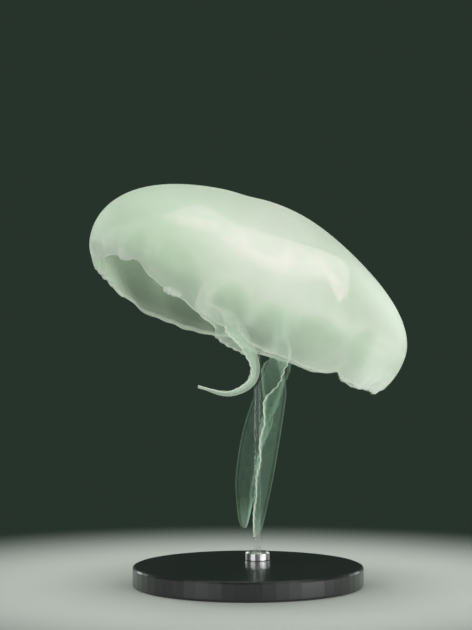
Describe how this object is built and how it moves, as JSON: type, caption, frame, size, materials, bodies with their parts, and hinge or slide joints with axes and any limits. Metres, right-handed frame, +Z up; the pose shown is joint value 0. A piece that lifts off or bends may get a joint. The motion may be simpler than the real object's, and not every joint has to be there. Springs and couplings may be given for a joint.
{
  "type": "moon jellyfish",
  "caption": "Life-size moon jellyfish in mid-stroke: a domed clear bell with a lobed margin, horseshoe organs and trailing oral arms, held on a plain display stand.",
  "frame": {"origin": "middle of the underside of the stand's base, straight under the middle of the bell", "axes": "+Z up; -Y faces the viewer of the reference view; +X is the side that the bell's crown leans towards, in which the animal swims"},
  "size_m": [0.1915, 0.204, 0.2424],
  "materials": {
    "clear_jelly": "wet clear jelly, milky in depth",
    "arm_membrane": "thin wet frilled membrane",
    "milky_tissue": "soft cloudy white tissue",
    "stand_black": "satin black acrylic",
    "stand_clear": "polished clear acrylic",
    "stand_steel": "satin steel"
  },
  "bodies": {
    "root": {"bell_dome": "clear_jelly", "bell_lobe_1": "clear_jelly", "bell_lobe_2": "clear_jelly", "bell_lobe_3": "clear_jelly", "bell_lobe_4": "clear_jelly", "bell_lobe_5": "clear_jelly", "bell_lobe_6": "clear_jelly", "bell_lobe_7": "clear_jelly", "bell_lobe_8": "clear_jelly", "gonad_1": "milky_tissue", "gonad_2": "milky_tissue", "gonad_3": "milky_tissue", "gonad_4": "milky_tissue", "manubrium": "milky_tissue", "oral_arm_curled_middle": "arm_membrane", "oral_arm_curled_tip": "arm_membrane", "oral_arm_curled_upper": "arm_membrane", "oral_arm_drawn_up_middle": "arm_membrane", "oral_arm_drawn_up_tip": "arm_membrane", "oral_arm_drawn_up_upper": "arm_membrane", "oral_arm_hanging_middle": "arm_membrane", "oral_arm_hanging_tip": "arm_membrane", "oral_arm_hanging_upper": "arm_membrane", "oral_arm_trailing_middle": "arm_membrane", "oral_arm_trailing_tip": "arm_membrane", "oral_arm_trailing_upper": "arm_membrane", "rhopalium_1": "milky_tissue", "rhopalium_2": "milky_tissue", "rhopalium_3": "milky_tissue", "rhopalium_4": "milky_tissue", "rhopalium_5": "milky_tissue", "rhopalium_6": "milky_tissue", "rhopalium_7": "milky_tissue", "rhopalium_8": "milky_tissue", "stand_base": "stand_black", "stand_collar": "stand_steel", "stand_rod": "stand_clear"}
  },
  "joints": []
}
